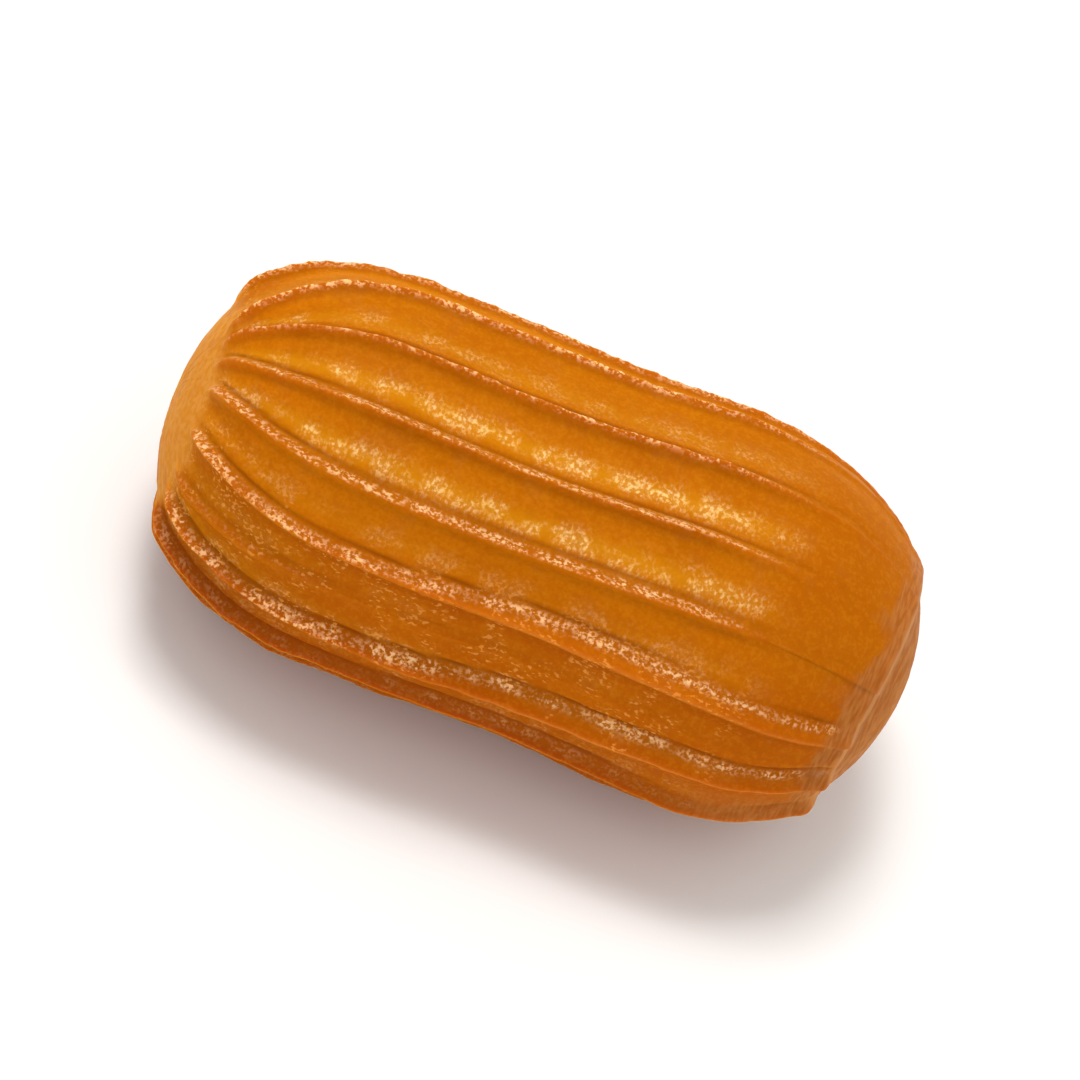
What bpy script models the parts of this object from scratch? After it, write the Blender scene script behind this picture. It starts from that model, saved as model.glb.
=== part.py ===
"""Tulumba: a short finger of fried choux dough, piped through a star nozzle and soaked in syrup.

The finger lies along X. Ridges and broad flutes run along it, and each end is a low smooth dome
inside a rim of blunt ridge tips. Towards +X the ridges on the upper side melt into the dough.
Angles round the finger are in degrees, from +Z turning towards -Y. Lengths are in millimetres
until the last step, which gives the mesh its real size in metres.
"""

import math

import bmesh
import bpy
from mathutils import Vector, noise

MM = 0.001

# Body under the ridges: its outline along X and its radius to the floor of the flutes.
LEFT_TIP_X = -27.0
RIGHT_TIP_X = 27.0
LEFT_RIM_X = -24.7
RIGHT_RIM_X = 24.1
LEFT_BELLY_X = -10.5
RIGHT_BELLY_X = 12.0
BELLY_RADIUS = 12.9
WAIST_DIP = 0.3
LEFT_RIM_RADIUS = 8.4
RIGHT_RIM_RADIUS = 8.95
LEFT_FALL_POWER = 2.75
RIGHT_FALL_POWER = 2.6
DOME_POWER = 2.3
LEFT_ROUNDING = 0.9
RIGHT_ROUNDING = 0.4
RIM_LIP = 0.14

# Right end: it hangs to one side, and its face leans the same way.
SAG_ANGLE = 128.0
SAG = 1.3
SAG_FROM_X = 8.0
FACE_LEAN = 0.07

# Flutes are broad scoops, and a narrow cord of dough runs along each crest between them.
SCOOP_DEPTH = 0.6
SCOOP_POWER = 2.0
CORD_HEIGHT = 0.5
CORD_SINKS = 0.6
NARROW_FLUTE = 21.0
MELT_LEVEL = 0.7
MELT_FROM_X = 8.0
MELT_TO_X = 18.5
CORD_START_WIDTH = 0.34
WIDEN_FROM_X = -15.0
WIDEN_TO_X = 6.0
TIP_BEND_FROM_X = -8.0
TIP_BEND_POWER = 3.5
# One row a ridge: its angle at the left tip, in the middle and at the right end, its height at the
# same three places as a share of the full height, and the widths of the cord's two sides. The
# first of these is reached only towards the right, because the cords start out alike.
RIDGES = (
    (-47, -55, -55, 0.95, 0.90, 0.60, 0.34, 0.44),
    (-11, -30, -37, 0.90, 0.90, 0.35, 0.34, 0.46),
    (1, -2, -9, 0.90, 1.00, 0.15, 0.34, 0.42),
    (15, 21, 16, 0.95, 1.00, 0.10, 0.32, 0.44),
    (30, 43, 39, 0.95, 1.00, 0.12, 0.38, 0.42),
    (53, 64, 65, 0.95, 1.00, 0.80, 0.95, 0.36),
    (78, 78, 78, 0.50, 0.16, 0.05, 0.40, 0.50),
    (92, 94, 90, 0.95, 1.10, 0.90, 1.10, 0.36),
    (116, 113, 118, 1.00, 1.00, 1.00, 0.70, 0.36),
    (134, 132, 138, 0.90, 1.00, 0.90, 0.50, 0.40),
    (152, 151, 154, 0.95, 0.90, 0.80, 0.40, 0.44),
    (170, 169, 171, 0.90, 0.95, 0.85, 0.36, 0.52),
    (190, 192, 193, 0.95, 0.95, 0.90, 0.44, 0.40),
    (210, 214, 213, 0.95, 1.00, 0.80, 0.38, 0.60),
    (231, 236, 234, 0.90, 0.95, 0.55, 0.34, 0.80),
    (253, 259, 256, 0.95, 1.00, 0.45, 0.40, 0.46),
    (281, 282, 280, 0.95, 0.95, 0.55, 0.36, 0.48),
)

# Unevenness of the dough.
LUMP_SIZE = 11.0
LUMP_DEPTH = 0.15
NICK_SIZE = 2.6
NICK_DEPTH = 0.16

# Flat where the finger rests, cut off its lowest ridges.
REST_CUT = 0.45

# Mesh: places across each flute, from one crest to the next, and rings from tip to tip.
ACROSS = (0.0, 0.055, 0.13, 0.27, 0.5, 0.73, 0.87, 0.945)
RINGS = 42
RIM_CROWDING = 1.8


def clear_scene():
    for scene_object in list(bpy.data.objects):
        bpy.data.objects.remove(scene_object, do_unlink=True)


def ease(value, start, end):
    """0 before start, 1 after end, with a smooth S between."""
    share = min(1.0, max(0.0, (value - start) / (end - start)))
    return share * share * (3.0 - 2.0 * share)


def side_radius(x):
    """Radius of the flute floors at x: two bellies, a slight waist, and a fall to each rim."""
    if x < LEFT_BELLY_X:
        share = (LEFT_BELLY_X - x) / (LEFT_BELLY_X - LEFT_RIM_X)
        return BELLY_RADIUS - (BELLY_RADIUS - LEFT_RIM_RADIUS) * share**LEFT_FALL_POWER
    if x > RIGHT_BELLY_X:
        share = (x - RIGHT_BELLY_X) / (RIGHT_RIM_X - RIGHT_BELLY_X)
        return BELLY_RADIUS - (BELLY_RADIUS - RIGHT_RIM_RADIUS) * share**RIGHT_FALL_POWER
    turn = 2.0 * math.pi * (x - LEFT_BELLY_X) / (RIGHT_BELLY_X - LEFT_BELLY_X)
    return BELLY_RADIUS - WAIST_DIP * 0.5 * (1.0 - math.cos(turn))


def dome_x(radius, tip_x, rim_x, rim_radius):
    return tip_x + (rim_x - tip_x) * (radius / rim_radius) ** DOME_POWER


def outline():
    """Rows (x, radius, side) from the left tip to the right: side is 1 on the fluted side and
    falls to 0 on the domes."""
    rows = []
    for k in range(80):
        radius = LEFT_RIM_RADIUS * k / 80
        side = ease(radius, LEFT_RIM_RADIUS - 1.0, LEFT_RIM_RADIUS)
        rows.append((dome_x(radius, LEFT_TIP_X, LEFT_RIM_X, LEFT_RIM_RADIUS), radius, side))
    for k in range(501):
        x = LEFT_RIM_X + (RIGHT_RIM_X - LEFT_RIM_X) * k / 500
        rows.append((x, side_radius(x), 1.0))
    for k in range(80):
        radius = RIGHT_RIM_RADIUS * (79 - k) / 80
        side = ease(radius, RIGHT_RIM_RADIUS - 1.0, RIGHT_RIM_RADIUS)
        rows.append((dome_x(radius, RIGHT_TIP_X, RIGHT_RIM_X, RIGHT_RIM_RADIUS), radius, side))
    return rows


def rounded(rows):
    """The outline with its two rims rounded, as a mean over the rows near each row."""
    result = []
    last = len(rows) - 1
    for k, row in enumerate(rows):
        reach = round((LEFT_ROUNDING if row[0] < 0.0 else RIGHT_ROUNDING) / 0.1)
        near = min(reach, k, last - k)
        window = rows[k - near : k + near + 1]
        result.append(tuple(sum(column) / len(window) for column in zip(*window)))
    return result


def stations(count):
    """Rows (x, radius, side, normal x, normal radius), count + 1 of them, crowded at the rims."""
    rows = rounded(outline())
    travelled = [0.0]
    for a, b in zip(rows, rows[1:]):
        step = math.hypot(b[0] - a[0], b[1] - a[1])
        middle = (a[0] + b[0]) / 2
        from_rim = min(abs(middle - LEFT_RIM_X), abs(middle - RIGHT_RIM_X))
        crowding = 1.0 + RIM_CROWDING * math.exp(-((from_rim / 1.8) ** 2))
        travelled.append(travelled[-1] + step * crowding)
    result = []
    k = 0
    for j in range(count + 1):
        target = travelled[-1] * j / count
        while k < len(rows) - 2 and travelled[k + 1] < target:
            k += 1
        share = (target - travelled[k]) / (travelled[k + 1] - travelled[k])
        a, b = rows[k], rows[k + 1]
        x, radius, side = (p + (q - p) * share for p, q in zip(a, b))
        before, after = rows[max(k - 2, 0)], rows[min(k + 3, len(rows) - 1)]
        along = Vector((after[0] - before[0], after[1] - before[1])).normalized()
        result.append((x, max(radius, 0.0), side, -along.y, along.x))
    return result


def ridge_at(index, x):
    """Angle and height share of one ridge at x, and the widths of its cord's two sides."""
    left, middle, right, high_left, high_middle, high_right, before, after = RIDGES[
        index % len(RIDGES)
    ]
    turn = 360.0 * (index // len(RIDGES))
    bend = max(0.0, (TIP_BEND_FROM_X - x) / (TIP_BEND_FROM_X - LEFT_RIM_X)) ** TIP_BEND_POWER
    bend = min(bend, 1.0)
    drift = ease(x, -6.0, 22.0)
    melt = ease(x, MELT_FROM_X, MELT_TO_X)
    rise = ease(x, -21.0, -9.0)
    angle = middle + (left - middle) * bend + (right - middle) * drift
    height = high_left + (high_middle - high_left) * rise + (high_right - high_middle) * melt
    before = CORD_START_WIDTH + (before - CORD_START_WIDTH) * ease(x, WIDEN_FROM_X, WIDEN_TO_X)
    return angle + turn, height, before, after


def flute(x, radius, share, ridge_a, ridge_b):
    """Angle, and height over the flute floor, at a share of the way from one ridge to the next."""
    angle_a, high_a, _, after_a = ridge_a
    angle_b, high_b, before_b, _ = ridge_b
    pitch = angle_b - angle_a
    melt = ease(x, MELT_FROM_X, MELT_TO_X)
    fill = MELT_LEVEL * melt * (1.0 - (high_a + high_b) / 2)
    shallow = max(0.0, 1.0 - pitch / NARROW_FLUTE) * 0.8
    floor = max(fill, shallow)
    if share < 0.5:
        high, nearness, width = high_a, share, after_a
    else:
        high, nearness, width = high_b, 1.0 - share, before_b
    crest = max(high, floor)
    scoop = floor + (crest - floor) * (1.0 - 2.0 * nearness) ** SCOOP_POWER
    from_crest = nearness * math.radians(pitch) * (radius + SCOOP_DEPTH)
    sinking = 1.0 - CORD_SINKS * ease(x, 17.0, RIGHT_RIM_X)
    cord = high * sinking * math.exp(-((from_crest / width) ** 2))
    return angle_a + pitch * share, SCOOP_DEPTH * scoop + CORD_HEIGHT * cord


def surface_point(station, index, share):
    """A point of the finger on one ring, at a share of the way from ridge index to the next."""
    x, radius, side, normal_x, normal_radius = station
    angle, height = flute(x, radius, share, ridge_at(index, x), ridge_at(index + 1, x))
    turn = math.radians(angle)
    rough = Vector((x, radius * math.sin(turn), radius * math.cos(turn)))
    lump = noise.noise(rough / LUMP_SIZE + Vector((3.1, 0.0, 7.7))) * LUMP_DEPTH
    crest = (height / (SCOOP_DEPTH + CORD_HEIGHT)) ** 2
    nick = noise.noise(rough / NICK_SIZE + Vector((0.0, 5.3, 1.9))) * NICK_DEPTH * crest
    lip = RIM_LIP * math.exp(-(((x - RIGHT_RIM_X) / 0.6) ** 2))
    out = (height + nick) * side + lump * 2.0 + lip
    x += normal_x * out
    radius = max(0.0, radius + normal_radius * out) if radius > 0.0 else 0.0
    y = -radius * math.sin(turn)
    z = radius * math.cos(turn)
    sag_turn = math.radians(SAG_ANGLE)
    aside = -y * math.sin(sag_turn) + z * math.cos(sag_turn)
    hang = max(0.0, (x - SAG_FROM_X) / (RIGHT_TIP_X - SAG_FROM_X)) ** 2 * SAG
    lean = FACE_LEAN * aside * ease(x, 6.0, 24.0)
    return Vector((x - lean, y - hang * math.sin(sag_turn), z + hang * math.cos(sag_turn)))


def shape_finger(mesh):
    """Move each point of a sphere, its poles at the two tips, to its place on the finger."""
    rows = stations(RINGS)
    columns = len(RIDGES) * len(ACROSS)
    form = bmesh.new()
    bmesh.ops.create_uvsphere(form, u_segments=columns, v_segments=RINGS, radius=1.0)
    for vertex in form.verts:
        ring = RINGS - round(math.acos(max(-1.0, min(1.0, vertex.co.z))) / math.pi * RINGS)
        turn = math.atan2(vertex.co.y, vertex.co.x) % (2.0 * math.pi)
        column = round(turn / (2.0 * math.pi) * columns) % columns
        index, place = divmod(column, len(ACROSS))
        vertex.co = surface_point(rows[ring], index, ACROSS[place])
    lowest = min(vertex.co.z for vertex in form.verts)
    everything = form.verts[:] + form.edges[:] + form.faces[:]
    cut = bmesh.ops.bisect_plane(
        form,
        geom=everything,
        plane_co=(0.0, 0.0, lowest + REST_CUT),
        plane_no=(0.0, 0.0, -1.0),
        clear_outer=True,
    )
    rim = [piece for piece in cut["geom_cut"] if isinstance(piece, bmesh.types.BMEdge)]
    bmesh.ops.holes_fill(form, edges=rim, sides=0)
    bmesh.ops.triangulate(form, faces=form.faces[:])
    bmesh.ops.recalc_face_normals(form, faces=form.faces[:])
    low = Vector([min(vertex.co[axis] for vertex in form.verts) for axis in range(3)])
    high = Vector([max(vertex.co[axis] for vertex in form.verts) for axis in range(3)])
    middle = Vector(((low.x + high.x) / 2, (low.y + high.y) / 2, low.z))
    for vertex in form.verts:
        vertex.co = (vertex.co - middle) * MM
    form.to_mesh(mesh)
    form.free()


def syrup_crust():
    material = bpy.data.materials.new("syrup_crust")
    material.use_nodes = True
    shader = material.node_tree.nodes["Principled BSDF"]
    shader.inputs["Base Color"].default_value = (0.60, 0.19, 0.012, 1.0)
    shader.inputs["Roughness"].default_value = 0.32
    shader.inputs["Metallic"].default_value = 0.0
    return material


def build():
    clear_scene()
    collection = bpy.data.collections.new("tulumba_sweet")
    bpy.context.scene.collection.children.link(collection)
    mesh = bpy.data.meshes.new("tulumba")
    shape_finger(mesh)
    mesh.shade_smooth()
    mesh.materials.append(syrup_crust())
    collection.objects.link(bpy.data.objects.new("tulumba", mesh))


build()
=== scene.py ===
"""Tulumba on a pale table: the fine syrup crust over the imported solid, the light and the camera.

The crust follows the same form as the solid it replaces, at a finer mesh and with the grain of the
crust added. Its lengths are in millimetres until its points are placed in the frame, in metres.
"""

import math

import bpy
from mathutils import Matrix, Vector, noise


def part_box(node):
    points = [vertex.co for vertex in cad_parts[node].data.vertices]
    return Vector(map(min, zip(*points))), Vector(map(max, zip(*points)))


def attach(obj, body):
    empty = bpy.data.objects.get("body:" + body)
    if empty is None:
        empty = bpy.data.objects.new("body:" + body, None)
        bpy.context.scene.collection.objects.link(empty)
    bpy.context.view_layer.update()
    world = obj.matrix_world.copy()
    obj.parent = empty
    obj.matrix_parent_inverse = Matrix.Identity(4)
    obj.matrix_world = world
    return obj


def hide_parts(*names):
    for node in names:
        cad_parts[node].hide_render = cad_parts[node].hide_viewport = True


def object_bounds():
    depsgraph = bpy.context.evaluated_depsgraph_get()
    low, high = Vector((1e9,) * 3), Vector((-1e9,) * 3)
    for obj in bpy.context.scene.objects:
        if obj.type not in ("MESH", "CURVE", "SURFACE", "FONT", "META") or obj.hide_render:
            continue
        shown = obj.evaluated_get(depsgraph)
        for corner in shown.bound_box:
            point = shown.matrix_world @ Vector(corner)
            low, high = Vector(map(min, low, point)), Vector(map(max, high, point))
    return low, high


MM = 0.001

# Body under the ridges: its outline along X and its radius to the floor of the flutes.
LEFT_TIP_X = -27.0
RIGHT_TIP_X = 27.0
LEFT_RIM_X = -24.7
RIGHT_RIM_X = 24.1
LEFT_BELLY_X = -10.5
RIGHT_BELLY_X = 12.0
BELLY_RADIUS = 12.9
WAIST_DIP = 0.3
LEFT_RIM_RADIUS = 8.4
RIGHT_RIM_RADIUS = 8.95
LEFT_FALL_POWER = 2.75
RIGHT_FALL_POWER = 2.6
DOME_POWER = 2.3
LEFT_ROUNDING = 0.9
RIGHT_ROUNDING = 0.4
RIM_LIP = 0.14
RIM_LIP_WIDTH = 0.6
DOME_EDGE = 1.0

# Right end: it hangs to one side, and its face leans the same way.
SAG_ANGLE = 128.0
SAG = 1.3
SAG_FROM_X = 8.0
FACE_LEAN = 0.07
LEAN_FROM_X = 6.0
LEAN_TO_X = 24.0

# Flutes are broad scoops, and a narrow cord of dough runs along each crest between them.
SCOOP_DEPTH = 0.6
SCOOP_POWER = 2.0
CORD_HEIGHT = 0.5
CORD_SINKS = 0.6
CORD_SINKS_FROM_X = 17.0
NARROW_FLUTE = 21.0
NARROW_FILL = 0.8
MELT_LEVEL = 0.7
MELT_FROM_X = 8.0
MELT_TO_X = 18.5
CORD_START_WIDTH = 0.34
WIDEN_FROM_X = -15.0
WIDEN_TO_X = 6.0
TIP_BEND_FROM_X = -8.0
TIP_BEND_POWER = 3.5
DRIFT_FROM_X = -6.0
DRIFT_TO_X = 22.0
RISE_FROM_X = -21.0
RISE_TO_X = -9.0
# One row a ridge: its angle at the left tip, in the middle and at the right end, its height at the
# same three places as a share of the full height, and the widths of the cord's two sides. The
# first of these is reached only towards the right, because the cords start out alike.
RIDGES = (
    (-47, -55, -55, 0.95, 0.90, 0.60, 0.34, 0.44),
    (-11, -30, -37, 0.90, 0.90, 0.35, 0.34, 0.46),
    (1, -2, -9, 0.90, 1.00, 0.15, 0.34, 0.42),
    (15, 21, 16, 0.95, 1.00, 0.10, 0.32, 0.44),
    (30, 43, 39, 0.95, 1.00, 0.12, 0.38, 0.42),
    (53, 64, 65, 0.95, 1.00, 0.80, 0.95, 0.36),
    (78, 78, 78, 0.50, 0.16, 0.05, 0.40, 0.50),
    (92, 94, 90, 0.95, 1.10, 0.90, 1.10, 0.36),
    (116, 113, 118, 1.00, 1.00, 1.00, 0.70, 0.36),
    (134, 132, 138, 0.90, 1.00, 0.90, 0.50, 0.40),
    (152, 151, 154, 0.95, 0.90, 0.80, 0.40, 0.44),
    (170, 169, 171, 0.90, 0.95, 0.85, 0.36, 0.52),
    (190, 192, 193, 0.95, 0.95, 0.90, 0.44, 0.40),
    (210, 214, 213, 0.95, 1.00, 0.80, 0.38, 0.60),
    (231, 236, 234, 0.90, 0.95, 0.55, 0.34, 0.80),
    (253, 259, 256, 0.95, 1.00, 0.45, 0.40, 0.46),
    (281, 282, 280, 0.95, 0.95, 0.55, 0.36, 0.48),
)

# Unevenness of the dough.
LUMP_SIZE = 11.0
LUMP_DEPTH = 0.3
LUMP_PLACE = Vector((3.1, 0.0, 7.7))
NICK_SIZE = 2.6
NICK_DEPTH = 0.16
NICK_PLACE = Vector((0.0, 5.3, 1.9))

# Mesh of the crust. Its outline is made of short steps of about the same length first, and the
# rings are read from it.
OUTLINE_STEP = 0.1
DOME_STEPS = 80
SIDE_STEPS = 500
COLUMNS_PER_RIDGE = 18
COLUMN_CROWDING = 0.6
RINGS = 326
RIM_CROWDING = 0.7
RIM_CROWDING_WIDTH = 1.8

# Fine relief and painted bands of the crust: the grooves and the feet of the cords carry painted
# shade, the bands a browner cord colour with painted glints, and the wide cords' edges a painted
# highlight. A band's place is measured from its cord's crest. It
# # shifts further towards the back, between two places given as shares of the radius.
BAND_SHARE = 1.45
BAND_SHIFT = 0.26
BAND_SHIFT_AT_BACK = 0.28
BACK_FROM = -0.4
BACK_TO = 0.5
BAND_WIDTH = 0.31
BAND_SPREAD = 0.1
GROOVE_SHIFT = 0.28
GROOVE_WIDTH = 0.16
GROOVE_DEPTH = 0.13
FOOT_SHIFT = 0.48
FOOT_WIDTH = 0.2
FOOT_STRENGTH = 0.3
EDGE_SHIFT = 0.01
EDGE_WIDTH = 0.14
BEAD_SIZE = 0.42
BEAD_DEPTH = 0.10
GRAIN_SIZE = 0.9
GRAIN_DEPTH = 0.05
RIPPLE_LENGTH = 3.2
RIPPLE_WIDTH = 1.3
RIPPLE_DEPTH = 0.05
WRINKLE_WIDTH = 0.8
WRINKLES_AROUND = 4.0
WRINKLE_DEPTH = 0.10
# Settings of the wrinkles' noise: its fading, lacunarity, octaves, offset and gain.
WRINKLE_FRACTAL = (1.0, 2.0, 3, 1.0, 2.0)
LEFT_WRINKLES = 0.3
RIGHT_WRINKLES = 0.2
RIM_WRINKLES = 0.6
FINE_SINK = 0.02
DOME_FINENESS = 0.35
RIM_BAND_ON_SIDE = 1.6
RIM_BAND_ON_FACE = 4.6

# The two long sides of a flute, as shares of the way across it: the place and the width of each.
# The near side carries painted shade and painted light, the far side painted highlights.
NEAR_SIDE = (0.22, 0.17)
FAR_SIDE = (0.61, 0.14)
FLUTE_PAINT_RISE = 1.6
MASKS = ("crest", "edge", "groove", "near", "far", "left_dome", "right_dome", "right_rim")

# Colours of the crust, in linear light. A pair is mixed by a noise.
AMBER = (0.50, 0.136, 0.0008, 1)
BRIGHT_AMBER = (0.56, 0.166, 0.0014, 1)
UNDERSIDE_SHADE_BROWN = (0.25, 0.036, 0.0005, 1)
BACK_SHADE_AMBER = (0.47, 0.124, 0.0008, 1)
RIGHT_AMBER = (0.44, 0.111, 0.0008, 1)
DEEP_ORANGE = (0.52, 0.096, 0.0006, 1)
SHADED_BROWN = (0.41, 0.078, 0.0005, 1)
LIT_ORANGE = (0.64, 0.18, 0.001, 1)
LIT_GOLD = (0.64, 0.25, 0.004, 1)
MOTTLE_LIGHT = (0.70, 0.26, 0.012, 1)
MOTTLE_DARK = (0.36, 0.075, 0.0005, 1)
LOW_HIGHLIGHT_GOLD = (0.88, 0.42, 0.07, 1)
TOP_HIGHLIGHT_GOLD = (0.95, 0.58, 0.14, 1)
HIGHLIGHT_PEAK = (1.0, 0.74, 0.36, 1)
GROOVE_SHADE_BROWN = (0.23, 0.040, 0.0006, 1)
CORD_BROWN = (0.385, 0.100, 0.004, 1)
EDGE_HIGHLIGHT_TAN = (0.66, 0.27, 0.05, 1)
GLINT_SPECK_GOLD = (0.86, 0.38, 0.07, 1)
PAINTED_GLINT = (0.98, 0.60, 0.27, 1)
LEFT_FACE = ((0.60, 0.205, 0.010, 1), (0.64, 0.250, 0.034, 1))
RIGHT_FACE = ((0.43, 0.125, 0.008, 1), (0.50, 0.170, 0.018, 1))
DRY_SKIN = ((0.37, 0.104, 0.014, 1), (0.48, 0.170, 0.036, 1))
LIP_TAN = (0.58, 0.235, 0.065, 1)

# Table, light and camera. Lengths are in metres, and the widths of frame and sensor in millimetres.
# The camera looks down on the table from the -Y side and a little from the left, and is tipped so
# that the finger runs down to the right.
TABLE_RADIUS = 3.0
TABLE_CORNERS = 64
TABLE_WHITES = ((0.90, 0.895, 0.89, 1), (0.93, 0.93, 0.93, 1))
STUDIO_WHITE = (1.0, 0.985, 0.96)
SOFTBOX_PLACE = (-0.20, 0.17, 0.98)
SOFTBOX_SIZE = 0.32
SOFTBOX_POWER = 5.6
FILL_STRENGTH = 0.78
CAMERA_AZIMUTH = -8.0
CAMERA_ELEVATION = 52.0
CAMERA_DISTANCE = 0.75
SENSOR_WIDTH = 36.0
AXIS_DROP = 22.0
FRAME_WIDTH = 74.0


def ease(value, start, end):
    """0 before start, 1 after end, with a smooth S between."""
    share = min(1.0, max(0.0, (value - start) / (end - start)))
    return share * share * (3.0 - 2.0 * share)


def bump(distance, centre, width):
    """1 at the centre, falling to nothing within about two widths on both sides."""
    return math.exp(-(((distance - centre) / width) ** 2))


def side_radius(x):
    """Radius of the flute floors at x: two bellies, a slight waist, and a fall to each rim."""
    if x < LEFT_BELLY_X:
        share = (LEFT_BELLY_X - x) / (LEFT_BELLY_X - LEFT_RIM_X)
        return BELLY_RADIUS - (BELLY_RADIUS - LEFT_RIM_RADIUS) * share**LEFT_FALL_POWER
    if x > RIGHT_BELLY_X:
        share = (x - RIGHT_BELLY_X) / (RIGHT_RIM_X - RIGHT_BELLY_X)
        return BELLY_RADIUS - (BELLY_RADIUS - RIGHT_RIM_RADIUS) * share**RIGHT_FALL_POWER
    turn = 2.0 * math.pi * (x - LEFT_BELLY_X) / (RIGHT_BELLY_X - LEFT_BELLY_X)
    return BELLY_RADIUS - WAIST_DIP * 0.5 * (1.0 - math.cos(turn))


def dome_x(radius, tip_x, rim_x, rim_radius):
    """Place along X of an end's dome at a radius."""
    return tip_x + (rim_x - tip_x) * (radius / rim_radius) ** DOME_POWER


def outline():
    """Rows (x, radius, side) from the left tip to the right: side is 1 on the fluted side and
    falls to 0 on the domes."""
    rows = []
    for k in range(DOME_STEPS):
        radius = LEFT_RIM_RADIUS * k / DOME_STEPS
        side = ease(radius, LEFT_RIM_RADIUS - DOME_EDGE, LEFT_RIM_RADIUS)
        rows.append((dome_x(radius, LEFT_TIP_X, LEFT_RIM_X, LEFT_RIM_RADIUS), radius, side))
    for k in range(SIDE_STEPS + 1):
        x = LEFT_RIM_X + (RIGHT_RIM_X - LEFT_RIM_X) * k / SIDE_STEPS
        rows.append((x, side_radius(x), 1.0))
    for k in reversed(range(DOME_STEPS)):
        radius = RIGHT_RIM_RADIUS * k / DOME_STEPS
        side = ease(radius, RIGHT_RIM_RADIUS - DOME_EDGE, RIGHT_RIM_RADIUS)
        rows.append((dome_x(radius, RIGHT_TIP_X, RIGHT_RIM_X, RIGHT_RIM_RADIUS), radius, side))
    return rows


def rounded(rows):
    """The outline with its two rims rounded, as a mean over the rows near each row."""
    result = []
    last = len(rows) - 1
    for k, row in enumerate(rows):
        reach = round((LEFT_ROUNDING if row[0] < 0.0 else RIGHT_ROUNDING) / OUTLINE_STEP)
        near = min(reach, k, last - k)
        window = rows[k - near : k + near + 1]
        result.append(tuple(sum(column) / len(window) for column in zip(*window)))
    return result


def stations(count):
    """Rows (x, radius, side, normal x, normal radius), count + 1 of them, crowded at the rims."""
    rows = rounded(outline())
    travelled = [0.0]
    for a, b in zip(rows, rows[1:]):
        step = math.hypot(b[0] - a[0], b[1] - a[1])
        middle = (a[0] + b[0]) / 2
        from_rim = min(abs(middle - LEFT_RIM_X), abs(middle - RIGHT_RIM_X))
        crowding = 1.0 + RIM_CROWDING * bump(from_rim, 0.0, RIM_CROWDING_WIDTH)
        travelled.append(travelled[-1] + step * crowding)
    result = []
    k = 0
    for j in range(count + 1):
        target = travelled[-1] * j / count
        while k < len(rows) - 2 and travelled[k + 1] < target:
            k += 1
        share = (target - travelled[k]) / (travelled[k + 1] - travelled[k])
        a, b = rows[k], rows[k + 1]
        x, radius, side = (p + (q - p) * share for p, q in zip(a, b))
        before, after = rows[max(k - 2, 0)], rows[min(k + 3, len(rows) - 1)]
        along = Vector((after[0] - before[0], after[1] - before[1])).normalized()
        result.append((x, max(radius, 0.0), side, -along.y, along.x))
    return result


def ridge_at(index, x):
    """Angle and height share of one ridge at x, and the widths of its cord's two sides."""
    turns, row = divmod(index, len(RIDGES))
    left, middle, right, high_left, high_middle, high_right, before, after = RIDGES[row]
    bend = max(0.0, (TIP_BEND_FROM_X - x) / (TIP_BEND_FROM_X - LEFT_RIM_X)) ** TIP_BEND_POWER
    bend = min(bend, 1.0)
    drift = ease(x, DRIFT_FROM_X, DRIFT_TO_X)
    melt = ease(x, MELT_FROM_X, MELT_TO_X)
    rise = ease(x, RISE_FROM_X, RISE_TO_X)
    angle = middle + (left - middle) * bend + (right - middle) * drift
    height = high_left + (high_middle - high_left) * rise + (high_right - high_middle) * melt
    before = CORD_START_WIDTH + (before - CORD_START_WIDTH) * ease(x, WIDEN_FROM_X, WIDEN_TO_X)
    return angle + 360.0 * turns, height, before, after


def flute(x, radius, share, ridge_a, ridge_b):
    """Angle, and height over the flute floor, at a share of the way from one ridge to the next."""
    angle_a, high_a, _, after_a = ridge_a
    angle_b, high_b, before_b, _ = ridge_b
    pitch = angle_b - angle_a
    melt = ease(x, MELT_FROM_X, MELT_TO_X)
    fill = MELT_LEVEL * melt * (1.0 - (high_a + high_b) / 2)
    shallow = max(0.0, 1.0 - pitch / NARROW_FLUTE) * NARROW_FILL
    floor = max(fill, shallow)
    if share < 0.5:
        high, nearness, width = high_a, share, after_a
    else:
        high, nearness, width = high_b, 1.0 - share, before_b
    crest = max(high, floor)
    scoop = floor + (crest - floor) * (1.0 - 2.0 * nearness) ** SCOOP_POWER
    from_crest = nearness * math.radians(pitch) * (radius + SCOOP_DEPTH)
    sinking = 1.0 - CORD_SINKS * ease(x, CORD_SINKS_FROM_X, RIGHT_RIM_X)
    cord = high * sinking * bump(from_crest, 0.0, width)
    return angle_a + pitch * share, SCOOP_DEPTH * scoop + CORD_HEIGHT * cord


def cord_band(ridge, past):
    """Strength of the grainy band on a cord, at a signed distance past its crest."""
    angle, high, before, _ = ridge
    towards_back = -math.sin(math.radians(angle))
    shift = BAND_SHIFT + BAND_SHIFT_AT_BACK * ease(towards_back, BACK_FROM, BACK_TO)
    return high * bump(past, shift - BAND_SHARE * before, BAND_WIDTH + BAND_SPREAD * before)


def cord_edge(ridge, past):
    """Strength of the painted highlight along the thin edge of the wide cords."""
    _, high, before, _ = ridge
    return high * (before - CORD_START_WIDTH) * bump(past, EDGE_SHIFT, EDGE_WIDTH)


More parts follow.
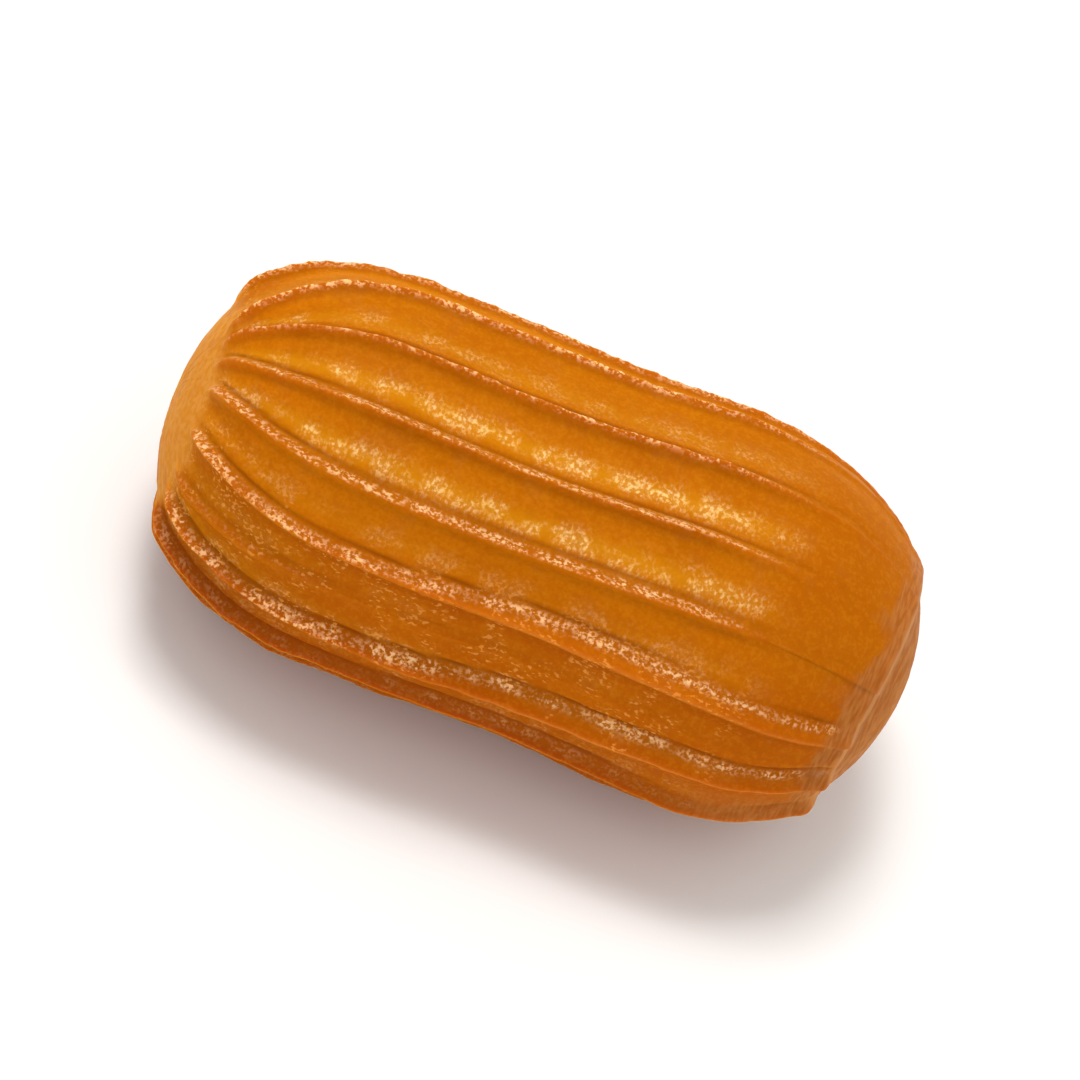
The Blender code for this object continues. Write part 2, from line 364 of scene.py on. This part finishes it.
def flute_masks(radius, share, ridge_a, ridge_b):
    """Strengths of the crest's band, the cord's edge, its grooves with their painted shade, and the
    flute's two sides.
    """
    width = math.radians(ridge_b[0] - ridge_a[0]) * radius
    past, ahead = share * width, (1.0 - share) * width
    crest = max(cord_band(ridge_a, past), cord_band(ridge_b, -ahead))
    edge = max(cord_edge(ridge_a, past), cord_edge(ridge_b, -ahead))
    groove = ridge_b[1] * bump(ahead, BAND_SHARE * ridge_b[2] + GROOVE_SHIFT, GROOVE_WIDTH)
    groove = max(groove, FOOT_STRENGTH * ridge_a[1] * bump(past, FOOT_SHIFT, FOOT_WIDTH))
    near = ridge_a[1] * bump(share, *NEAR_SIDE)
    far = ridge_b[1] * bump(share, *FAR_SIDE)
    return crest, edge, groove, near, far


def end_masks(x, radius, side):
    """Strengths of the left dome, the right dome and the dry skin round the right rim."""
    left = (1.0 - side) if x < 0.0 else 0.0
    right = (1.0 - side) if x > 0.0 else 0.0
    from_rim = math.hypot(x - RIGHT_RIM_X, radius - RIGHT_RIM_RADIUS)
    reach = RIM_BAND_ON_SIDE + (RIM_BAND_ON_FACE - RIM_BAND_ON_SIDE) * right
    return left, right, bump(from_rim, 0.0, reach)


def wrinkles(radius, turn, ends):
    """Depth of the wrinkles of the end faces, which run round the finger."""
    left, right, rim = ends
    around = (WRINKLES_AROUND * math.sin(turn), WRINKLES_AROUND * math.cos(turn))
    place = Vector((radius / WRINKLE_WIDTH, *around))
    strength = right * (RIGHT_WRINKLES + RIM_WRINKLES * rim) + left * LEFT_WRINKLES
    return noise.ridged_multi_fractal(place, *WRINKLE_FRACTAL) * WRINKLE_DEPTH * strength


def fine_relief(rough, crest, groove):
    """Beads along the cords, grooves beside them, and the grain and ripples of the crust."""
    grain = noise.noise(rough / GRAIN_SIZE) * GRAIN_DEPTH
    grain += noise.noise(rough / BEAD_SIZE) * BEAD_DEPTH * crest
    stretched = (rough.x / RIPPLE_LENGTH, rough.y / RIPPLE_WIDTH, rough.z / RIPPLE_WIDTH)
    ripple = noise.noise(Vector(stretched)) * RIPPLE_DEPTH
    return grain + ripple - groove * GROOVE_DEPTH


def hung(x, y, z):
    """The point with the right end's sideways hang and the lean of its face added."""
    sag_turn = math.radians(SAG_ANGLE)
    aside = -y * math.sin(sag_turn) + z * math.cos(sag_turn)
    hang = max(0.0, (x - SAG_FROM_X) / (RIGHT_TIP_X - SAG_FROM_X)) ** 2 * SAG
    lean = FACE_LEAN * aside * ease(x, LEAN_FROM_X, LEAN_TO_X)
    return x - lean, y - hang * math.sin(sag_turn), z + hang * math.cos(sag_turn)


def crust_point(station, share, ridge_a, ridge_b):
    """A point of the crust, and its masks there, in the order of MASKS."""
    x, radius, side, normal_x, normal_radius = station
    angle, height = flute(x, radius, share, ridge_a, ridge_b)
    turn = math.radians(angle)
    rough = Vector((x, radius * math.sin(turn), radius * math.cos(turn)))
    lump = noise.noise(rough / LUMP_SIZE + LUMP_PLACE) * LUMP_DEPTH
    top = (height / (SCOOP_DEPTH + CORD_HEIGHT)) ** 2
    nick = noise.noise(rough / NICK_SIZE + NICK_PLACE) * NICK_DEPTH * top

    crest, edge, groove, near, far = flute_masks(radius + height, share, ridge_a, ridge_b)
    ends = end_masks(x, radius, side)
    fine = fine_relief(rough, crest, groove) - wrinkles(radius, turn, ends) - FINE_SINK
    fine *= DOME_FINENESS + (1.0 - DOME_FINENESS) * side
    lip = RIM_LIP * bump(x, RIGHT_RIM_X, RIM_LIP_WIDTH)
    out = (height + nick) * side + lump + lip + fine
    x += normal_x * out
    radius = max(0.0, radius + normal_radius * out) if radius > 0.0 else 0.0
    place = hung(x, -radius * math.sin(turn), radius * math.cos(turn))
    fluted = min(1.0, FLUTE_PAINT_RISE * side)
    return place, (crest * fluted, edge * side, groove * side, near * side, far * fluted, *ends)


def crust_mesh():
    """The finger's crust in its own axes, in millimetres: points, faces, and one mask a list."""
    columns = len(RIDGES) * COLUMNS_PER_RIDGE
    points, masks = [], []
    for station in stations(RINGS):
        ridges = [ridge_at(index, station[0]) for index in range(len(RIDGES) + 1)]
        at_pole = not points or len(points) > columns * (RINGS - 1)
        for index in range(1 if at_pole else len(RIDGES)):
            for k in range(1 if at_pole else COLUMNS_PER_RIDGE):
                even = k / COLUMNS_PER_RIDGE
                bunched = COLUMN_CROWDING * math.sin(2.0 * math.pi * even) / (2.0 * math.pi)
                share = even - bunched
                place, mask = crust_point(station, share, ridges[index], ridges[index + 1])
                points.append(place)
                masks.append(mask)
    faces = []
    for c in range(columns):
        faces.append((0, 1 + (c + 1) % columns, 1 + c))
    for ring in range(RINGS - 2):
        start = 1 + ring * columns
        for c in range(columns):
            d = (c + 1) % columns
            faces.append((start + c, start + d, start + columns + d, start + columns + c))
    last = len(points) - 1
    start = last - columns
    for c in range(columns):
        faces.append((last, start + c, start + (c + 1) % columns))
    return points, faces, masks


def place_in_frame(points):
    """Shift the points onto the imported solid, flatten its resting spots, and keep to its box."""
    low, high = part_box("tulumba")
    mean = [(min(p[i] for p in points) + max(p[i] for p in points)) / 2 * MM for i in range(2)]
    top = max(p[2] for p in points) * MM
    shift = Vector(((low.x + high.x) / 2 - mean[0], (low.y + high.y) / 2 - mean[1], high.z - top))
    placed = []
    for p in points:
        q = Vector(p) * MM + shift
        placed.append([min(max(q[i], low[i]), high[i]) for i in range(3)])
    return placed


def build_crust():
    """The crust as an object, with each mask as a float attribute of its points."""
    points, faces, masks = crust_mesh()
    mesh = bpy.data.meshes.new("crust")
    mesh.from_pydata(place_in_frame(points), [], faces)
    mesh.validate()
    for name, values in zip(MASKS, zip(*masks)):
        attribute = mesh.attributes.new(name, "FLOAT", "POINT")
        attribute.data.foreach_set("value", values)
    mesh.shade_smooth()
    crust = bpy.data.objects.new("crust", mesh)
    bpy.context.scene.collection.objects.link(crust)
    return crust


class Graph:
    """Short ways to add and join shader nodes."""

    def __init__(self, name):
        self.material = bpy.data.materials.new(name)
        self.material.use_nodes = True
        self.tree = self.material.node_tree
        self.shader = self.tree.nodes["Principled BSDF"]

    def node(self, kind, settings=(), **values):
        made = self.tree.nodes.new(kind)
        for key, value in dict(settings).items():
            setattr(made, key, value)
        for key, value in values.items():
            self.put(made.inputs[key.replace("_", " ")], value)
        return made

    def put(self, socket, value):
        if isinstance(value, bpy.types.NodeSocket):
            self.tree.links.new(value, socket)
        else:
            socket.default_value = value

    def mask(self, name):
        return self.node("ShaderNodeAttribute", {"attribute_name": name}).outputs["Fac"]

    def math(self, operation, a, b=0.0):
        made = self.tree.nodes.new("ShaderNodeMath")
        made.operation = operation
        self.put(made.inputs[0], a)
        self.put(made.inputs[1], b)
        return made.outputs[0]

    def times(self, a, b):
        return self.math("MULTIPLY", a, b)

    def noise(self, place, scale, detail):
        made = self.node("ShaderNodeTexNoise", Vector=place, Scale=scale, Detail=detail)
        return made.outputs["Fac"]

    def mix(self, share, a, b):
        made = self.tree.nodes.new("ShaderNodeMix")
        made.data_type = "RGBA"
        self.put(made.inputs[0], share)
        self.put(made.inputs[6], a)
        self.put(made.inputs[7], b)
        return made.outputs[2]

    def ramp(self, value, low, high, to_low=0.0, to_high=1.0):
        made = self.tree.nodes.new("ShaderNodeMapRange")
        made.interpolation_type = "SMOOTHSTEP"
        for key, item in zip(range(5), (value, low, high, to_low, to_high)):
            self.put(made.inputs[key], item)
        return made.outputs[0]


class CrustGraph(Graph):
    """The crust's graph, with the places, noises and masks that its parts share, in metres."""

    def __init__(self):
        super().__init__("syrup_crust")
        place = self.node("ShaderNodeTexCoord").outputs["Object"]
        self.x, self.y, self.z = self.node("ShaderNodeSeparateXYZ", Vector=place).outputs
        self.broad = self.noise(place, 170.0, 3.0)
        self.patch = self.noise(place, 420.0, 2.0)
        self.cluster = self.noise(place, 1100.0, 1.0)
        self.mottle = self.noise(place, 1900.0, 3.0)
        self.beads = self.noise(place, 2900.0, 2.5)
        self.grit = self.noise(place, 4300.0, 1.5)
        self.strokes = self.noise(self.scaled_along(place, 1.35), 2800.0, 2.0)
        self.dashes = self.noise(self.scaled_along(place, 0.6), 4200.0, 1.0)
        self.folds = self.noise(self.scaled_along(place, 6.0), 800.0, 4.0)
        masks = [self.mask(name) for name in MASKS]
        self.crest, self.edge, self.groove, self.near, self.far = masks[:5]
        self.left_dome, self.right_dome, self.right_rim = masks[5:]
        self.low = self.ramp(self.z, 0.019, 0.0225, 1.0, 0.0)

    def scaled_along(self, place, scale):
        """The place with its length along the finger scaled, to stretch or squeeze a noise."""
        return self.node("ShaderNodeMapping", Vector=place, Scale=(scale, 1.0, 1.0)).outputs[0]

    def mean(self, a, b):
        return self.times(self.math("ADD", a, b), 0.5)


def lit_sides(g):
    """Where the far sides of the flutes catch the light: on top, and on the wide low shelf."""
    shelf = g.times(g.ramp(g.z, 0.0115, 0.0130, 0.0, 0.5), g.ramp(g.z, 0.0165, 0.0180, 0.5, 0.0))
    top = g.times(g.ramp(g.y, -0.001, 0.0045, 1.0, 0.22), g.ramp(g.z, 0.020, 0.0242, 0.2, 1.0))
    return g.times(g.math("MAXIMUM", top, shelf), g.ramp(g.x, 0.0145, 0.0175, 1.0, 0.1))


def flute_colour(g, facing):
    """Amber dough, darker towards the right, with a fine mottle. Painted shade underneath, at the
    back and on the low near sides, and painted light on the upper near sides and lit far sides.
    """
    colour = g.mix(g.ramp(g.broad, 0.35, 0.65), AMBER, BRIGHT_AMBER)
    # Painted shade: darker underneath, where the finger rests.
    colour = g.mix(g.ramp(g.z, 0.008, 0.017), UNDERSIDE_SHADE_BROWN, colour)
    # Painted shade: darker towards the back, along the top of the finger.
    colour = g.mix(g.ramp(g.y, -0.003, 0.004, 0.0, 0.6), colour, BACK_SHADE_AMBER)
    colour = g.mix(g.ramp(g.x, 0.007, 0.020, 0.0, 0.75), colour, RIGHT_AMBER)
    colour = g.mix(g.times(g.low, g.ramp(g.x, -0.020, -0.012, 0.0, 0.4)), colour, DEEP_ORANGE)
    # Painted shade on the near sides of the low flutes.
    colour = g.mix(g.times(g.near, g.times(g.low, 0.6)), colour, SHADED_BROWN)
    # Painted light on the near sides under the two top cords.
    lit = g.times(g.near, g.ramp(g.z, 0.0235, 0.0255, 1.0, 0.0))
    colour = g.mix(g.times(lit, g.ramp(g.z, 0.0205, 0.0215, 0.0, 0.7)), colour, LIT_ORANGE)
    texture = g.mean(g.mottle, g.grit)
    colour = g.mix(g.ramp(texture, 0.50, 0.60, 0.0, 0.17), colour, MOTTLE_LIGHT)
    colour = g.mix(g.ramp(texture, 0.40, 0.50, 0.15, 0.0), colour, MOTTLE_DARK)
    # Painted light: gold on the far sides where they catch the light.
    return g.mix(g.times(g.far, g.times(facing, 0.7)), colour, LIT_GOLD)


def syrup_hatching(g, facing):
    """Shares of the painted rippled highlights on the lit sides, and of their brightest patches."""
    spread = g.math("ADD", g.patch, g.ramp(g.x, -0.003, 0.004, 0.0, 0.05))
    light = g.times(g.times(g.far, g.ramp(spread, 0.36, 0.54)), facing)
    strokes = g.ramp(g.strokes, 0.44, 0.64, 0.1, 1.0)
    hatching = g.times(light, g.times(strokes, g.ramp(g.grit, 0.36, 0.56, 0.45, 1.0)))
    return hatching, g.times(hatching, g.ramp(spread, 0.48, 0.60))


def cord_painted_glints(g):
    """Share of the painted glints, pale grains in rows along the cords."""
    band = g.times(g.ramp(g.crest, 0.2, 0.95), g.ramp(g.z, 0.008, 0.0125, 0.15, 0.9))
    grains = g.ramp(g.mean(g.beads, g.grit), 0.455, 0.595)
    grains = g.times(grains, g.ramp(g.cluster, 0.32, 0.54, 0.25, 1.0))
    gaps = g.ramp(g.patch, 0.40, 0.58, g.ramp(g.z, 0.014, 0.019, 0.4, 0.65), 1.0)
    return g.times(g.times(band, grains), gaps)


def low_glint_specks(g):
    """Share of the short golden dashes in the low flutes: painted glints."""
    specks = g.times(g.ramp(g.dashes, 0.55, 0.66), g.ramp(g.patch, 0.44, 0.58))
    specks = g.times(specks, g.times(g.low, g.ramp(g.z, 0.010, 0.013, 0.0, 0.55)))
    return g.times(specks, g.ramp(g.x, 0.014, 0.018, 1.0, 0.0))


def with_end_faces(g, colour):
    """The colour, covered by both mottled end faces and the dry skin round the right rim."""
    pores = g.ramp(g.mottle, 0.38, 0.62)
    uneven = g.ramp(g.patch, 0.35, 0.65, -0.25, 0.25)
    left = g.ramp(g.math("ADD", g.left_dome, uneven), 0.25, 1.05, 0.0, 0.9)
    colour = g.mix(left, colour, g.mix(pores, *LEFT_FACE))
    colour = g.mix(g.times(g.right_dome, 0.9), colour, g.mix(pores, *RIGHT_FACE))
    rim = g.ramp(g.math("ADD", g.right_rim, uneven), 0.15, 0.65, 0.0, 0.95)
    under = g.times(g.ramp(g.x, 0.013, 0.020), g.ramp(g.z, 0.008, 0.012, 0.75, 0.0))
    under = g.times(under, g.ramp(g.right_dome, 0.0, 1.0, 1.0, 0.0))
    skin = g.mix(g.ramp(g.folds, 0.34, 0.66), *DRY_SKIN)
    colour = g.mix(g.math("MAXIMUM", rim, under), colour, skin)
    lip = g.times(g.ramp(g.right_dome, 0.02, 0.30), g.ramp(g.right_dome, 0.55, 0.95, 1.0, 0.0))
    return g.mix(g.times(lip, 0.7), colour, LIP_TAN)


def crust_material():
    """Amber dough with browner cords, and painted glints and rippled highlights of wet syrup on it.
    """
    g = CrustGraph()
    facing = lit_sides(g)
    hatching, highlight_peaks = syrup_hatching(g, facing)
    painted_glints = cord_painted_glints(g)
    # Painted highlights: colour of the rippled syrup highlights, lower and top.
    golden = g.mix(g.ramp(g.z, 0.020, 0.0245), LOW_HIGHLIGHT_GOLD, TOP_HIGHLIGHT_GOLD)

    colour = flute_colour(g, facing)
    colour = g.mix(g.times(hatching, 0.68), colour, golden)
    # Painted highlights: the brightest patches of the rippled highlights.
    colour = g.mix(g.times(highlight_peaks, 0.55), colour, HIGHLIGHT_PEAK)
    # Painted shade along the grooves at the cords' feet.
    colour = g.mix(g.times(g.groove, 0.7), colour, GROOVE_SHADE_BROWN)
    colour = g.mix(g.times(g.crest, 0.7), colour, CORD_BROWN)
    # Painted highlight along the lower edge of the wide cords.
    colour = g.mix(g.times(g.edge, 0.55), colour, EDGE_HIGHLIGHT_TAN)
    # Painted glints: golden dashes in the low flutes.
    colour = g.mix(low_glint_specks(g), colour, GLINT_SPECK_GOLD)
    # Painted glints: pale grains in rows along the cords.
    colour = g.mix(painted_glints, colour, PAINTED_GLINT)
    g.put(g.shader.inputs["Base Color"], with_end_faces(g, colour))

    g.put(g.shader.inputs["Roughness"], g.ramp(g.patch, 0.3, 0.7, 0.38, 0.55))
    g.shader.inputs["Subsurface Weight"].default_value = 0.6
    g.shader.inputs["Subsurface Radius"].default_value = (1.0, 0.36, 0.08)
    g.shader.inputs["Subsurface Scale"].default_value = 0.0014
    g.shader.inputs["Specular IOR Level"].default_value = 0.01
    g.shader.inputs["Coat Roughness"].default_value = 0.12
    g.shader.inputs["Coat IOR"].default_value = 1.5

    shining = g.math("MAXIMUM", painted_glints, hatching)
    g.put(g.shader.inputs["Coat Weight"], g.ramp(shining, 0.05, 0.8, 0.02, 0.8))
    relief = g.times(g.strokes, g.math("ADD", g.times(g.far, 1.2), 0.3))
    relief = g.math("ADD", relief, g.grit)
    coarse = g.node("ShaderNodeBump", Strength=0.3, Distance=0.00015, Height=g.mottle)
    fine = g.node("ShaderNodeBump", Strength=1.0, Distance=0.0003, Height=relief)
    g.put(g.shader.inputs["Normal"], coarse.outputs[0])
    g.put(g.shader.inputs["Coat Normal"], fine.outputs[0])
    return g.material


def table_material():
    """Matt white with a faint cloud."""
    g = Graph("pale_table")
    place = g.node("ShaderNodeTexCoord").outputs["Object"]
    cloud = g.noise(place, 9.0, 4.0)
    g.put(g.shader.inputs["Base Color"], g.mix(cloud, *TABLE_WHITES))
    g.shader.inputs["Roughness"].default_value = 0.75
    g.shader.inputs["Specular IOR Level"].default_value = 0.1
    return g.material


def build_table():
    """The flat disc that the finger lies on, which is staged and isn't part of it."""
    mesh = bpy.data.meshes.new("table")
    turns = [2.0 * math.pi * k / TABLE_CORNERS for k in range(TABLE_CORNERS)]
    corners = [(TABLE_RADIUS * math.cos(a), TABLE_RADIUS * math.sin(a), 0.0) for a in turns]
    mesh.from_pydata(corners, [], [tuple(range(TABLE_CORNERS))])
    mesh.materials.append(table_material())
    table = bpy.data.objects.new("table", mesh)
    bpy.context.scene.collection.objects.link(table)


def build_softbox(centre):
    """The one lamp: a square soft light high behind the finger, on the left."""
    light = bpy.data.lights.new("softbox", "AREA")
    light.shape = "SQUARE"
    light.size = SOFTBOX_SIZE
    light.energy = SOFTBOX_POWER
    light.color = STUDIO_WHITE
    softbox = bpy.data.objects.new("softbox", light)
    softbox.location = SOFTBOX_PLACE
    softbox.rotation_euler = (centre - softbox.location).to_track_quat("-Z", "Y").to_euler()
    bpy.context.scene.collection.objects.link(softbox)


def build_fill():
    """Even light from all round, and plain colour management."""
    world = bpy.data.worlds.new("studio")
    world.use_nodes = True
    background = world.node_tree.nodes["Background"]
    background.inputs["Color"].default_value = (*STUDIO_WHITE, 1.0)
    background.inputs["Strength"].default_value = FILL_STRENGTH
    bpy.context.scene.world = world
    bpy.context.scene.view_settings.view_transform = "Standard"


def build_camera(centre):
    """The photograph's viewing angle, aimed at the middle of the finger."""
    azimuth, elevation = math.radians(CAMERA_AZIMUTH), math.radians(CAMERA_ELEVATION)
    right = Vector((math.cos(azimuth), math.sin(azimuth), 0.0))
    level = math.cos(elevation)
    back = Vector((math.sin(azimuth) * level, -math.cos(azimuth) * level, math.sin(elevation)))
    up = back.cross(right)
    axis_rise = math.atan2(up.x, right.x)
    turn = axis_rise + math.radians(AXIS_DROP)
    tipped_right = right * math.cos(turn) + up * math.sin(turn)
    tipped_up = up * math.cos(turn) - right * math.sin(turn)
    data = bpy.data.cameras.new("camera")
    data.sensor_width = SENSOR_WIDTH
    data.lens = SENSOR_WIDTH * CAMERA_DISTANCE / (FRAME_WIDTH * MM)
    data.clip_start = 0.01
    data.clip_end = 20.0
    camera = bpy.data.objects.new("camera", data)
    camera.location = centre + back * CAMERA_DISTANCE
    camera.rotation_mode = "QUATERNION"
    axes = Matrix((tipped_right, tipped_up, back)).transposed()
    camera.rotation_quaternion = axes.to_quaternion()
    bpy.context.scene.collection.objects.link(camera)
    bpy.context.scene.camera = camera


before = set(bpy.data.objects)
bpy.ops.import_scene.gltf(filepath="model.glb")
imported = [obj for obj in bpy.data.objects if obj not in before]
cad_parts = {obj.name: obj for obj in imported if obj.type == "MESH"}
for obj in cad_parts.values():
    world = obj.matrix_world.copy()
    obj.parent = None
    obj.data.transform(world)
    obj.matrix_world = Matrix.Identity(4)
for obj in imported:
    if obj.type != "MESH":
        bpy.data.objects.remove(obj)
low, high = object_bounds()
crust = build_crust()
crust.data.materials.append(crust_material())
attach(crust, "root")
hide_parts("tulumba")
build_table()
build_softbox((low + high) / 2)
build_fill()
build_camera((low + high) / 2)
